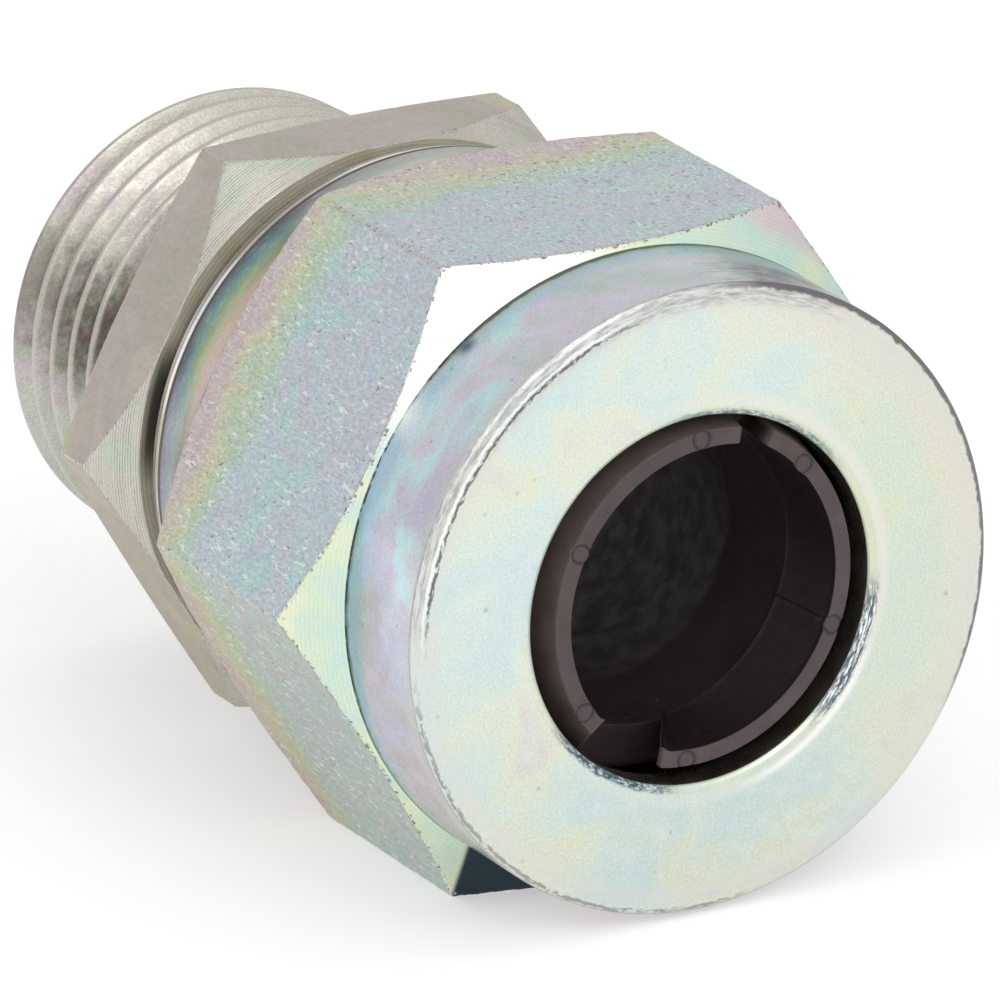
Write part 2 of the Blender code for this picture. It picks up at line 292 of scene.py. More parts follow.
def build_nut(materials):
    """Nut: lip, nose face and its worn rim, hexagon cut by turned cones, skirt, bead, thread and cavity."""
    skin = Skin()
    outline = hex_outline(TURNS, NUT_FLATS, 0.22)
    front_edge = SHOULDER + (outline - NOSE_RADIUS) * 0.6577
    back_edge = 19.9 - (outline - NUT_FLATS / 2) * 0.769
    # (radius, station, rounding, rows to the next corner, material to the next corner)
    table = [(LIP_RADIUS, 1.6, 0, 3, INSIDE), (LIP_RADIUS, 0.16, 0.1, 2, FACE), (8.45, 0.03, 0.3, 2, FACE),
             (9.20, 0.0, 0.5, 10, FACE), (13.20, 0.0, 0.2, 6, FACE), (13.86, 0.09, 0.3, 1, FACE),
             (NOSE_RADIUS, 0.24, 0.09, 9, NOSE),
             (NOSE_RADIUS, SHOULDER, 0.13, 8, CONE), (outline, front_edge, 0.14, 36, FLATS),
             (outline, back_edge, 0.16, 5, SKIRT), (14.0, 20.3, 0.35, 8, SKIRT), (13.28, 22.6, 5.0, 5, SKIRT),
             (13.10, 24.25, 0.06, 1, SKIRT), (13.04, 24.34, 0.04, 1, SKIRT), (13.09, 24.5, 0.15, 3, BEAD),
             (12.80, NUT_BACK, 0.42, 4, BEAD), (RIM_RADIUS, NUT_BACK, 0.12, 1, INSIDE),
             (RIM_RADIUS, 25.0, 0, 3, INSIDE), (NUT_MINOR, THREAD_BACK, 0, 0, INSIDE)]
    knots = [knot(radius, station) for radius, station, _, _, _ in table]
    knots[-1][:, 0] = nut_thread_radius(knots[-1][:, 1], TURNS)    # the thread runs out through the rim
    points, runs = rounded_profile(knots, [row[2] for row in table], [row[3] for row in table[:-1]])

    edges = nearness(points, [knot(outline, front_edge), knot(outline, back_edge)], 0.5)
    on_flat = ((points[..., 1] > front_edge - 0.2) & (points[..., 1] < back_edge + 0.2)).astype(float)
    wear = np.maximum(edges, corner_nearness(NUT_FLATS, 0.5)[None, :] * on_flat)
    nick = np.clip(speckle(points, TURNS, 0.23, 3.1), 0, 1) * 0.12 + np.clip(
        speckle(points, TURNS, 0.8, 8.7), 0, 1) * 0.06
    wave = speckle(points, TURNS, 2.6, 5.5) * 0.014 + speckle(points, TURNS, 0.45, 1.5) * 0.010
    points[..., 0] -= np.clip((wear - 0.72) / 0.28, 0, 1) * nick
    points[..., 0] += np.where((on_flat > 0) & (edges < 0.8), wave * (1 - edges), 0)
    inside_flats = NUT_FLATS / 2 / np.cos(off_flat(TURNS))
    points[..., 0] = np.where(on_flat > 0, np.minimum(points[..., 0], inside_flats[None, :]), points[..., 0])
    rim = np.exp(-((points[..., 0] - 13.45) / 0.25) ** 2) * (points[..., 1] < 0.3)
    points[..., 1] += rim * np.clip(speckle(points, TURNS, 0.35, 17.0) + 0.2, 0, 1) * 0.03
    index = skin.add(points, TURNS, wear)
    skin.strip(index, [table[run][4] for run in runs])

    tail = [knot(NUT_MINOR, THREAD_FRONT), knot(CAVITY_RADIUS, 11.26), knot(CAVITY_RADIUS, 6.5),
            knot(LIP_RADIUS, 1.6)]
    inner, inner_runs = rounded_profile(tail, [0, 0, 0.3, 0], [2, 3, 4])
    inner_index = skin.add(inner[:-1], TURNS, 0.0)
    inner_index = np.vstack([inner_index, index[0]])
    skin.strip(inner_index, [INSIDE] * len(inner_runs))
    skin.thread(inner_index[0], index[-1], THREAD_FRONT, THREAD_BACK, nut_thread_radius, GLAND_CENTRE,
                GLAND_PITCH, ridge_offsets(*NUT_GROOVE, GLAND_PITCH, 5), INSIDE)
    return skin.to_object("nut_zinc_shell", materials)


# ---------------------------------------------------------------- the fitting body

BODY_FLAT, THREAD, NECK, GROOVED, BAND = range(5)    # the body's materials
HUB_DEPTH = 1.15
HUB_START = 31.6
HUB_RIDGE = (0.80, 0.12)       # half widths of the hub thread's ridge at its foot and at its crest
HUB_CENTRE = HUB_START + HUB_RIDGE[0]
HUB_END_ROOT = 9.34
COLLAR_START = 42.3
COLLAR_RADIUS = 10.49
HEX_FRONT = 26.7
HEX_CIRCLE = 12.8
HEX_BACK = 31.25
NECK_ROOT = 10.3
NECK_RELIEF = 10.1
NECK_FRONT = 12.2
CUP_RADIUS, CUP_BACK = 9.2, 18.9
SEAT_RADIUS, SEAT_BACK = 8.3, 22.9
BORE_RADIUS = 7.6


def hub_root(station):
    return HUB_END_ROOT + (LENGTH - station) / 32


def hub_radius(station, turns):
    distance, at = helix_place(station, turns, HUB_CENTRE, HUB_PITCH)
    return hub_root(station) + HUB_DEPTH * ridge(distance, *HUB_RIDGE) * np.clip(at * 6, 0, 1)


def hub_height(points):
    """Height, 0 to 1, of points on the hub thread above its root."""
    return np.clip((points[..., 0] - hub_root(points[..., 1])) / HUB_DEPTH, 0, 1)


def gland_radius(station, turns):
    distance, at = helix_place(station, turns, GLAND_CENTRE, GLAND_PITCH)
    fade = np.clip(np.minimum(at * 6, (6 - at) * 6), 0, 1)
    return NECK_ROOT + GLAND_DEPTH * ridge(distance, GLAND_BASE_HALF, GLAND_CREST_HALF) * fade


def build_body(materials):
    """Body: cup, neck with the gland thread, relief, hexagon, tapered hub thread, end collar and bore."""
    skin = Skin()
    neck, _ = rounded_profile([knot(CUP_RADIUS, CUP_BACK), knot(CUP_RADIUS, 12.7), knot(9.6, NECK_FRONT),
                               knot(10.0, NECK_FRONT), knot(NECK_ROOT, 12.6), knot(NECK_ROOT, GLAND_START)],
                              [0, 0.1, 0.1, 0.1, 0.1, 0], [3, 1, 1, 1, 1])
    neck_index = skin.add(neck, TURNS, 0.0)

    outline = hex_outline(TURNS, BODY_FLATS, 0.2)
    circle = np.minimum(HEX_CIRCLE, outline - 0.03)
    front_edge = HEX_FRONT + np.maximum((outline - HEX_CIRCLE) * 0.998, 0.02)
    back_edge = 31.2 - (outline - BODY_FLATS / 2) * 0.305
    gland_end = GLAND_START + 7 * GLAND_PITCH
    # (radius, station, rounding, rows to the next corner, material to the next corner)
    table = [(NECK_ROOT, gland_end, 0, 1, NECK), (NECK_RELIEF, 23.28, 0.15, 4, NECK),
             (NECK_RELIEF, HEX_FRONT, 0.4, 10, BAND),
             (circle, HEX_FRONT, 0.05, 14, GROOVED), (outline, front_edge, 0.12, 24, BODY_FLAT),
             (outline, back_edge, 0.12, 3, NECK), (12.45, HEX_BACK, 0.1, 5, NECK),
             (hub_root(HEX_BACK), HEX_BACK, 0.22, 1, NECK), (hub_root(HUB_START), HUB_START, 0, 0, NECK)]
    knots = [knot(radius, station) for radius, station, _, _, _ in table]
    points, runs = rounded_profile(knots, [row[2] for row in table], [row[3] for row in table[:-1]])
    edges = nearness(points, [knot(outline, front_edge), knot(outline, back_edge)], 0.35)
    on_flat = (points[..., 1] > front_edge - 0.15) & (points[..., 1] < back_edge + 0.15)
    wear = np.maximum(edges, corner_nearness(BODY_FLATS, 0.4)[None, :] * on_flat)
    nick = np.clip(speckle(points, TURNS, 0.3, 13.1), 0, 1) * 0.07
    points[..., 0] -= np.clip((wear - 0.7) / 0.3, 0, 1) * nick
    index = skin.add(points, TURNS, wear)
    skin.strip(index, [table[run][4] for run in runs])

    collar_foot = np.stack([hub_radius(np.full(COLUMNS, COLLAR_START), TURNS),
                            np.full(COLUMNS, COLLAR_START)], axis=-1)
    end = [collar_foot, knot(COLLAR_RADIUS, 42.8), knot(COLLAR_RADIUS, 43.04), knot(10.38, LENGTH),
           knot(8.1, LENGTH), knot(BORE_RADIUS, LENGTH - 0.5), knot(BORE_RADIUS, SEAT_BACK),
           knot(SEAT_RADIUS, SEAT_BACK), knot(CUP_RADIUS, CUP_BACK)]
    bore, bore_runs = rounded_profile(end, [0, 0.06, 0.08, 0.05, 0.1, 0.1, 0.05, 0.05, 0],
                                      [4, 1, 1, 4, 2, 6, 2, 3])
    bore_index = skin.add(bore[:-1], TURNS, np.where(bore[:-1, :, 1] > COLLAR_START, 0.8, 0.0))
    bore_index = np.vstack([bore_index, neck_index[0]])
    skin.strip(bore_index, [THREAD if run < 3 else NECK for run in bore_runs])
    skin.strip(neck_index, [NECK] * (len(neck_index) - 1))
    skin.thread(neck_index[-1], index[0], GLAND_START, gland_end, gland_radius, GLAND_CENTRE, GLAND_PITCH,
                ridge_offsets(GLAND_BASE_HALF, GLAND_CREST_HALF, GLAND_PITCH), NECK)
    skin.thread(index[-1], bore_index[0], HUB_START, COLLAR_START, hub_radius, HUB_CENTRE, HUB_PITCH,
                ridge_offsets(*HUB_RIDGE, HUB_PITCH, 13), THREAD, hub_height)
    return skin.to_object("body_zinc_shell", materials)


# ---------------------------------------------------------------- the rubber bushing

def build_bushing(materials):
    """Rubber bushing: head behind the ring, barrel in the body's cup, tapered tip."""
    skin = Skin()
    # (radius, station, rounding, rows to the next corner)
    table = [(6.5, 12.0, 0, 6), (6.5, 9.0, 3.0, 10), (7.02, 4.75, 0.05, 5), (8.9, 4.75, 0.3, 6),
             (9.6, 6.95, 0.4, 6), (9.6, 8.75, 0.4, 4), (8.9, 9.75, 0.5, 10), (8.9, 17.6, 1.0, 8),
             (7.9, 20.7, 0.2, 2), (7.75, 21.0, 0.2, 4), (6.5, 21.0, 0.4, 10), (6.5, 12.0, 0, 0)]
    points, runs = rounded_profile([knot(*row[:2]) for row in table], [row[2] for row in table],
                                   [row[3] for row in table[:-1]])
    points[..., 0] += 0.015 * speckle(points, TURNS, 2.1, 21.0)
    index = skin.add(points[:-1], TURNS, 0.0)
    index = np.vstack([index, index[0]])
    skin.strip(index, [0] * len(runs))
    return skin.to_object("bushing_moulding", materials)


# ---------------------------------------------------------------- the grip ring

RING_FRONT, RING_BACK = 0.15, 4.35
RING_INNER, RING_FACE, RING_SKIRT = 7.0, 7.75, 8.7
LEFT_CENTRE, RIGHT_CENTRE = (0.75, -0.24), (-0.36, 0.35)
EJECTOR_MARKS = [(7.17, 88.5), (6.54, 151.3), (6.94, -144.4), (7.19, -95.7), (6.94, -20.2), (7.28, 45.0)]
MARK_RADIUS = 0.40
LEFT_END, RIGHT_END = 219.0, -103.0    # free ends of the halves, beside the gap
SLANT = 20.0           # degrees by which the diagonal gap turns from front to back
WEB = (58.0, 79.5)     # the set-back web that joins the halves
SCORE_ANGLE = -21.0    # a fine score line on the right half's inner wall


def ring_section(inner, face, skirt, front, back):
    """Cross-section of the ring with rounded corners: (radius, station, zone) round the loop.

    The zone is 0 on the inner wall, 1 on the front face, 2 on the outer cone and 3 behind.
    """
    corners = [((inner, back), 0.05, 12), ((inner, front), 0.06, 14), ((face, front), 0.07, 20),
               ((skirt, back - 0.35), 0.10, 2), ((skirt - 0.3, back), 0.10, 5)]
    count = len(corners)
    cut = []
    for k, (here, rounding, _) in enumerate(corners):
        here = np.array(here)
        before, after = (np.array(corners[(k + d) % count][0]) - here for d in (-1, 1))
        before, after = before / np.linalg.norm(before), after / np.linalg.norm(after)
        half = np.arccos(np.clip(before @ after, -1, 1)) / 2
        reach = rounding / tan(half)
        cut.append((here + before * reach, here, here + after * reach))
    out = []
    for k, (first, here, last) in enumerate(cut):
        zone = (0, 1, 2, 3, 3)[k]
        for w in (0, 0.33, 0.67, 1.0):
            x, y = (1 - w) ** 2 * first + 2 * w * (1 - w) * here + w * w * last
            out.append((x, y, zone if w > 0.5 else (3, 0, 1, 2, 3)[k]))
        end = cut[(k + 1) % count][0]
        steps = corners[k][2]
        for i in range(1, steps):
            x, y = last + (end - last) * i / steps
            out.append((x, y, zone))
    return out


def ring_half(span, centre, open_first):
    """Sections of one half of the ring; its free end is flared, rounded and cut back towards the rear."""
    rows = []
    steps = int(abs(span[1] - span[0]) / 0.36)
    for i in range(steps + 1):
        angle = span[0] + (span[1] - span[0]) * i / steps
        from_open, from_web = abs(angle - span[0]), abs(angle - span[1])
        if not open_first:
            from_open, from_web = from_web, from_open
        end = np.exp(-(from_open / 0.5) ** 2)
        web_end = np.exp(-(from_web / 0.35) ** 2)
        shear = SLANT * max(0.0, 1 - from_open / 45) ** 2
        rows.append((angle, centre, RING_INNER - 0.16 * np.exp(-(from_open / 2.0) ** 2),
                     RING_FACE - 0.08 * end - 0.05 * web_end, RING_SKIRT - 0.1 * end,
                     RING_FRONT + 0.25 * end + 0.05 * web_end, shear))
    return rows


def ring_path():
    """Angle, centre, inner, face and skirt radius, front and end shear of each section along the ring."""
    left = ring_half((LEFT_END, WEB[1]), LEFT_CENTRE, True)
    right = ring_half((WEB[0], RIGHT_END), RIGHT_CENTRE, False)
    web = []
    for i in range(1, 30):
        w = 1 - i / 30
        angle = WEB[0] + (WEB[1] - WEB[0]) * w
        depth = min(1.0, min(w, 1 - w) / 0.05)
        depth = depth * depth * (3 - 2 * depth)
        w = w * w * (3 - 2 * w)
        centre = tuple(a * w + b * (1 - w) for a, b in zip(LEFT_CENTRE, RIGHT_CENTRE))
        web.append((angle, centre, RING_INNER + 0.25 * depth, RING_FACE - 0.05 * depth,
                    RING_SKIRT - 0.7 * depth, RING_FRONT + 2.6 * depth, 0.0))
    return left + web + right


def build_ring(materials):
    """Split grip ring: two moulded halves joined by a set-back web, with ejector marks on the front."""
    rows = ring_path()
    vertices, zones, outlines = [], [], []
    marks = [(r * cos(radians(a)), r * sin(radians(a))) for r, a in EJECTOR_MARKS]
    for angle, centre, inner, face, skirt, front, shear in rows:
        for radius, station, zone in ring_section(inner, face, skirt, front, RING_BACK):
            depth = (station - front) / (RING_BACK - front)
            turn = radians(angle + shear * depth)
            if zone == 0:
                radius += 0.04 * np.exp(-((angle - SCORE_ANGLE + 1.5 * depth) / 0.35) ** 2)
            across = np.array([cos(turn), sin(turn)])
            x, z = np.array(centre) + across * radius
            outline = 0.0
            for mx, mz in marks:
                gap = ((x - mx) ** 2 + (z - mz) ** 2) ** 0.5
                ahead = station - front
                if gap < MARK_RADIUS + 0.3 and ahead < 0.8:
                    share = np.clip(1 - ahead / 0.14, 0, 1)
                    lip = np.exp(-((gap - MARK_RADIUS) / 0.05) ** 2)
                    dish = 0.5 - 0.5 * np.tanh((gap - MARK_RADIUS) / 0.03)
                    station += share * (0.09 * lip + 0.03 * dish)
                    outline = max(outline, lip * share)
                    if radius < inner + 0.14:
                        push = 0.11 * np.clip(1 - ahead / 0.8, 0, 1) * np.exp(-(gap / 0.42) ** 4)
                        x, z = x - across[0] * push, z - across[1] * push
            vertices.append((x, NOSE_Y + station, AXIS_Z + z))
            # the set-back web takes the inner wall's zone, so it gets the same nearly black painted shade
            zones.append(0.0 if front > 0.6 else float(zone))
            outlines.append(float(outline))
    size = len(vertices) // len(rows)
    index = np.arange(len(vertices)).reshape(len(rows), size)
    faces = np.stack([index[:-1], np.roll(index[:-1], -1, 1), np.roll(index[1:], -1, 1), index[1:]], -1)
    faces = faces.reshape(-1, 4).tolist() + [index[0].tolist(), index[-1].tolist()[::-1]]
    mesh = bpy.data.meshes.new("ring_moulding")
    mesh.from_pydata([Vector(v) * MM for v in vertices], [], faces)
    for name, values in (("zone", zones), ("outline", outlines)):
        mesh.attributes.new(name, "FLOAT", "POINT").data.foreach_set("value", np.array(values, np.float32))
    bm = bmesh.new()
    bm.from_mesh(mesh)
    bmesh.ops.recalc_face_normals(bm, faces=bm.faces)
    bm.to_mesh(mesh)
    bm.free()
    mesh.shade_smooth()
    for material in materials:
        mesh.materials.append(material)
    thing = bpy.data.objects.new("ring_moulding", mesh)
    bpy.context.scene.collection.objects.link(thing)
    return thing


# ---------------------------------------------------------------- materials

class Finish:
    """A Principled material and the few node calls that its pattern is written with.

    colour is the pattern so far, which paint lays more over, and normal is the relief so far.
    """

    def __init__(self, name, **sockets):
        self.material = bpy.data.materials.new(name)
        self.material.use_nodes = True
        self.tree = self.material.node_tree
        self.shader = self.tree.nodes["Principled BSDF"]
        self.colour = self.normal = None
        for socket, value in sockets.items():
            self.shader.inputs[socket.replace("_", " ")].default_value = value
        place = self.node("ShaderNodeTexCoord").outputs["Object"]
        # millimetres from the axis at the nose face: X across, Y the station, Z up
        self.place = self.vector("MULTIPLY_ADD", place, (1 / MM,) * 3, (0, -NOSE_Y, -AXIS_Z))

    def node(self, kind, **settings):
        made = self.tree.nodes.new(kind)
        for key, value in settings.items():
            setattr(made, key, value)
        return made

    def feed(self, socket, value):
        if isinstance(value, bpy.types.NodeSocket):
            self.tree.links.new(value, socket)
        else:
            socket.default_value = value

    def vector(self, operation, *values):
        made = self.node("ShaderNodeVectorMath", operation=operation)
        for socket, value in zip(made.inputs, values):
            self.feed(socket, value)
        return made.outputs["Value"] if operation in ("LENGTH", "DOT_PRODUCT") else made.outputs["Vector"]

    def math(self, operation, *values, clamp=False):
        made = self.node("ShaderNodeMath", operation=operation, use_clamp=clamp)
        for socket, value in zip(made.inputs, values):
            self.feed(socket, value)
        return made.outputs["Value"]

    def times(self, first, second):
        return self.math("MULTIPLY", first, second)

    def plus(self, first, second):
        return self.math("ADD", first, second)

    def minus(self, first, second):
        return self.math("SUBTRACT", first, second)

    def most(self, first, second):
        return self.math("MAXIMUM", first, second)

    def linear(self, value, factor, offset):
        return self.math("MULTIPLY_ADD", value, factor, offset)

    def steep(self, value, limit, slope):
        """0 up to a limit, then quickly to 1."""
        return self.math("MULTIPLY", self.minus(value, limit), slope, clamp=True)

    def stray(self, value, noise, reach):
        """Value moved up and down by a noise."""
        return self.plus(value, self.times(self.minus(noise, 0.5), reach))

    def waves(self, distance, pitch):
        """Sine of a distance, for turning marks a pitch apart."""
        return self.math("SINE", self.times(distance, 2 * pi / pitch))

    def span(self, value, low, high, to_low=0.0, to_high=1.0):
        """Smooth step of a value from one range to another."""
        made = self.node("ShaderNodeMapRange", interpolation_type="SMOOTHSTEP")
        for socket, number in zip(made.inputs, (value, low, high, to_low, to_high)):
            self.feed(socket, number)
        return made.outputs["Result"]

    def band(self, value, low, low_full, high_full, high):
        """1 between low_full and high_full, 0 outside low and high."""
        return self.times(self.span(value, low, low_full), self.span(value, high, high_full))

    def noise(self, size, detail=3.0, roughness=0.55, distortion=0.0, stretch=(1, 1, 1), offset=(0, 0, 0),
              place=None):
        """Noise whose features are about size millimetres."""
        place = self.vector("MULTIPLY_ADD", place or self.place, tuple(s / size for s in stretch), offset)
        made = self.node("ShaderNodeTexNoise")
        for key, value in (("Vector", place), ("Scale", 1.0), ("Detail", detail), ("Roughness", roughness),
                           ("Distortion", distortion)):
            self.feed(made.inputs[key], value)
        return made.outputs["Fac"]

    def specks(self, size, offset, outer, inner, rare, sure):
        """Round specks on some of a set of scattered points about size millimetres apart.

        outer and inner are the radii of a speck's edge, as shares of size. A point has a speck where its own
        random number is above sure, and none where it is below rare.
        """
        place = self.vector("MULTIPLY_ADD", self.place, (1 / size,) * 3, offset)
        made = self.node("ShaderNodeTexVoronoi")
        self.feed(made.inputs["Vector"], place)
        self.feed(made.inputs["Scale"], 1.0)
        parts = self.node("ShaderNodeSeparateColor")
        self.feed(parts.inputs[0], made.outputs["Color"])
        within = self.span(made.outputs["Distance"], outer, inner)
        return self.times(within, self.span(parts.outputs[0], rare, sure))

    def ramp(self, value, *stops):
        """Colour ramp through (position, colour) stops."""
        made = self.node("ShaderNodeValToRGB")
        elements = made.color_ramp.elements
        while len(elements) < len(stops):
            elements.new(1.0)
        for element, (position, colour) in zip(elements, stops):
            element.position, element.color = position, (*colour, 1.0)
        self.feed(made.inputs["Fac"], value)
        return made.outputs["Color"]

    def mix(self, share, first, second, blend="MIX"):
        made = self.node("ShaderNodeMix", data_type="RGBA", blend_type=blend)
        for key, value in (("Factor_Float", share), ("A_Color", first), ("B_Color", second)):
            socket = next(s for s in made.inputs if s.identifier == key)
            if isinstance(value, tuple) and len(value) == 3:
                value = (*value, 1.0)
            self.feed(socket, value)
        return next(s for s in made.outputs if s.identifier == "Result_Color")

    def paint(self, share, colour, strength=None):
        """Lay another colour over the finish's own by a share from 0 to 1, times strength."""
        if strength is not None:
            share = self.times(share, strength)
        self.colour = self.mix(share, self.colour, colour)

    def mark(self, name):
        """A value stored on the mesh's points."""
        return self.node("ShaderNodeAttribute", attribute_name=name).outputs["Fac"]

    def scale(self, colour, level):
        """Colour made lighter or darker."""
        made = self.node("ShaderNodeVectorMath", operation="SCALE")
        self.feed(made.inputs[0], colour)
        self.feed(made.inputs["Scale"], level)
        return made.outputs["Vector"]

    def grain(self, colour, size=0.11, amount=0.12, **settings):
        """Fine light and dark grain over a colour."""
        level = self.span(self.noise(size, 3.0, 0.7, **settings), 0.3, 0.7, 1 - amount, 1 + amount)
        return self.scale(colour, level)

    def toward(self, turn):
        """Cosine of the angle round the axis between a point and a direction, in degrees from +Z to +X."""
        flat = self.vector("NORMALIZE", self.vector("MULTIPLY", self.place, (1, 0, 1)))
        return self.vector("DOT_PRODUCT", flat, (sin(radians(turn)), 0, cos(radians(turn))))

    def side(self, turn, low, high, *levels):
        """Smooth step of toward: low and high are cosines of the angle from the direction."""
        return self.span(self.toward(turn), low, high, *levels)

    def near(self, turn, radius, station, reach):
        """From 1 at one place on the surface to 0 at reach millimetres from it."""
        spot = (radius * sin(radians(turn)), station, radius * cos(radians(turn)))
        gap = self.vector("LENGTH", self.vector("SUBTRACT", self.place, spot))
        return self.span(gap, reach, 0.0)

    def bump(self, height, depth):
        """Relief of the given depth in millimetres, on top of the relief so far."""
        made = self.node("ShaderNodeBump")
        made.inputs["Strength"].default_value = 1.0
        made.inputs["Distance"].default_value = depth * MM
        self.feed(made.inputs["Height"], height)
        if self.normal is not None:
            self.feed(made.inputs["Normal"], self.normal)
        self.normal = made.outputs["Normal"]

    def done(self, patches, smoothest, roughest):
        """The material, with roughness that follows a noise between two levels."""
        roughness = self.span(patches, 0.3, 0.7, smoothest, roughest)
        for key, value in (("Base Color", self.colour), ("Roughness", roughness), ("Normal", self.normal)):
            self.feed(self.shader.inputs[key], value)
        return self.material

    def station(self):
        parts = self.node("ShaderNodeSeparateXYZ")
        self.feed(parts.inputs[0], self.place)
        return parts.outputs["Y"]

    def across(self):
        parts = self.node("ShaderNodeSeparateXYZ")
        self.feed(parts.inputs[0], self.place)
        return parts.outputs["X"], parts.outputs["Z"]

    def radius(self):
        return self.vector("LENGTH", self.vector("MULTIPLY", self.place, (1, 0, 1)))

    def polar(self):
        """Millimetres round the nose's rim, radius and station, for marks drawn round the axis."""
        made = self.node("ShaderNodeCombineXYZ")
        turn = self.times(self.math("ARCTAN2", *self.across()), NOSE_RADIUS)
        for socket, value in zip(made.inputs, (turn, self.radius(), self.station())):
            self.feed(socket, value)
        return made.outputs["Vector"]


def zinc_face():
    """Turned nose face: pale mint and cream chromate with a fine grain, a scuffed rim and a nicked lip."""
    f = Finish("zinc_nose_face", Metallic=1.0)
    f.colour = f.ramp(f.noise(5.0, detail=2.5, distortion=0.5, offset=(3.3, 0, 1.2)),
                      (0.3, (0.6, 0.74, 0.76)), (0.45, (0.64, 0.76, 0.72)), (0.55, (0.7, 0.77, 0.68)),
                      (0.63, (0.74, 0.77, 0.62)), (0.72, (0.72, 0.7, 0.66)))
    fall = f.side(-35.0, -1.0, 0.9)
    f.colour = f.mix(fall, f.scale(f.colour, 0.9), f.colour)
    fine = f.noise(0.8, detail=4.0, offset=(9.0, 2.0, 4.0))
    f.paint(f.span(fine, 0.4, 0.75, 0.0, 0.35), (0.74, 0.8, 0.76))
    f.paint(f.side(85.0, 0.45, 0.95, 0.0, 0.55), (0.68, 0.73, 0.56))
    radius = f.radius()
    peach = f.times(f.span(radius, 11.0, 12.8), f.side(60.0, 0.55, 0.9))
    f.paint(peach, (0.76, 0.68, 0.6), 0.5)
    rings = f.waves(radius, 0.135)
    f.colour = f.scale(f.grain(f.colour, 0.12, 0.085), f.span(rings, -1.0, 1.0, 0.988, 1.01))
    f.paint(f.specks(0.8, (4.0, 0, 9.0), 0.2, 0.05, 0.9, 0.93), (0.34, 0.35, 0.28), 0.5)

    left = f.side(-50.0, 0.74, 0.88)
    top = f.side(-12.0, 0.66, 0.86)
    low = f.side(-142.0, 0.62, 0.8)
    right = f.side(62.0, 0.45, 0.7)
    polar = f.polar()
    jitter = f.linear(f.noise(0.5, 4.0, 0.65, offset=(0, 7, 0)), 0.36, -0.18)
    rim = f.plus(radius, jitter)
    # a dusty pale zone just inside the rim, then grey scuffing at the top and left
    f.paint(f.span(rim, 12.4, 13.2), (0.7, 0.69, 0.65), 0.45)
    drawn = f.noise(0.22, 4.0, 0.7, stretch=(0.25, 1.6, 1), offset=(4, 4, 4), place=polar)
    grey = f.ramp(drawn, (0.34, (0.3, 0.3, 0.3)), (0.46, (0.48, 0.48, 0.47)), (0.6, (0.7, 0.7, 0.68)))
    scuffed = f.most(f.times(f.span(rim, 12.9, 13.5), top), f.times(f.span(rim, 13.45, 13.65), left))
    f.paint(scuffed, grey, 0.85)
    # painted highlight: a white line along the rim on the left
    bright = f.band(rim, 13.4, 13.46, 13.54, 13.6)
    f.paint(f.times(bright, f.times(left, 0.7)), (0.96, 0.96, 0.94))
    broken = f.span(f.noise(0.2, 3.0, 0.7, stretch=(0.35, 1.2, 1), offset=(3, 0, 5), place=polar), 0.4, 0.5)
    streak = f.times(f.band(rim, 13.22, 13.28, 13.36, 13.42), left)
    f.paint(f.times(streak, broken), (0.1, 0.11, 0.12), 0.88)
    # low on the left the dark line runs along the very edge, and on the right the edge itself is dark, a
    # painted dark reflection
    f.paint(f.times(f.times(f.band(rim, 13.74, 13.8, 13.9, 13.98), low), broken), (0.2, 0.19, 0.17), 0.65)
    f.paint(f.times(f.span(rim, 13.72, 13.86), f.times(right, 0.88)), (0.13, 0.12, 0.14))
    f.paint(f.span(radius, 13.96, 14.03), (0.2, 0.2, 0.22), 0.5)

    # lip: a dusty band, and dark blue and teal drawn streaks at the very edge on three stretches; a painted
    # highlight crescent on the lower right, and painted shade at the innermost edge
    edge = f.plus(radius, f.times(jitter, 0.7))
    dusty = f.times(f.span(edge, 9.4, 8.95), f.side(85.0, -0.4, 0.6, 0.2, 0.6))
    f.paint(dusty, f.mix(f.span(radius, 8.75, 8.6), (0.78, 0.76, 0.72), (0.66, 0.71, 0.54)))
    above = f.side(22.0, 0.8, 0.95)
    below = f.side(-146.0, 0.88, 0.97)
    drawn = f.ramp(f.noise(0.16, 3.0, 0.7, stretch=(0.3, 1.3, 1), offset=(1, 6, 2), place=polar),
                   (0.36, (0.02, 0.035, 0.05)), (0.48, (0.06, 0.12, 0.16)), (0.56, (0.36, 0.44, 0.44)),
                   (0.66, (0.7, 0.76, 0.72)))
    gate = f.most(f.times(f.span(edge, 8.6, 8.38), f.times(above, 0.75)),
                  f.times(f.span(edge, 8.66, 8.5), below))
    f.paint(gate, drawn, 0.92)
    # painted highlight: a white crescent beside the lip on the lower right
    beside = f.band(edge, 9.2, 8.98, 8.9, 8.74)
    f.paint(f.times(beside, f.side(140.0, 0.86, 0.99, 0.0, 0.6)), (1.0, 1.0, 0.98))
    # nearer the edge on the lower right: drawn streaks with painted highlight between them
    fine = f.noise(0.075, 3.0, 0.75, stretch=(0.09, 0.8, 1), offset=(7, 2, 3), place=polar)
    fine = f.ramp(fine, (0.36, (0.02, 0.03, 0.05)), (0.47, (0.09, 0.13, 0.19)), (0.53, (0.42, 0.47, 0.5)),
                  (0.61, (0.95, 0.97, 0.95)))
    beside = f.times(f.span(edge, 8.88, 8.66), f.side(117.0, 0.89, 0.98))
    f.paint(beside, fine, 0.92)
    # painted shade on the lip's innermost edge, where it turns into the bore
    f.paint(f.span(radius, 8.34, 8.25, 0.0, 0.5), (0.2, 0.2, 0.18))

    f.bump(rings, 0.0008)
    f.bump(f.noise(0.14, 3.0, 0.6), 0.003)
    f.bump(f.times(f.noise(0.16, 4.0, 0.7), f.span(radius, 12.9, 13.4)), 0.018)
    return f.done(f.noise(0.7, 3.0), 0.32, 0.42)


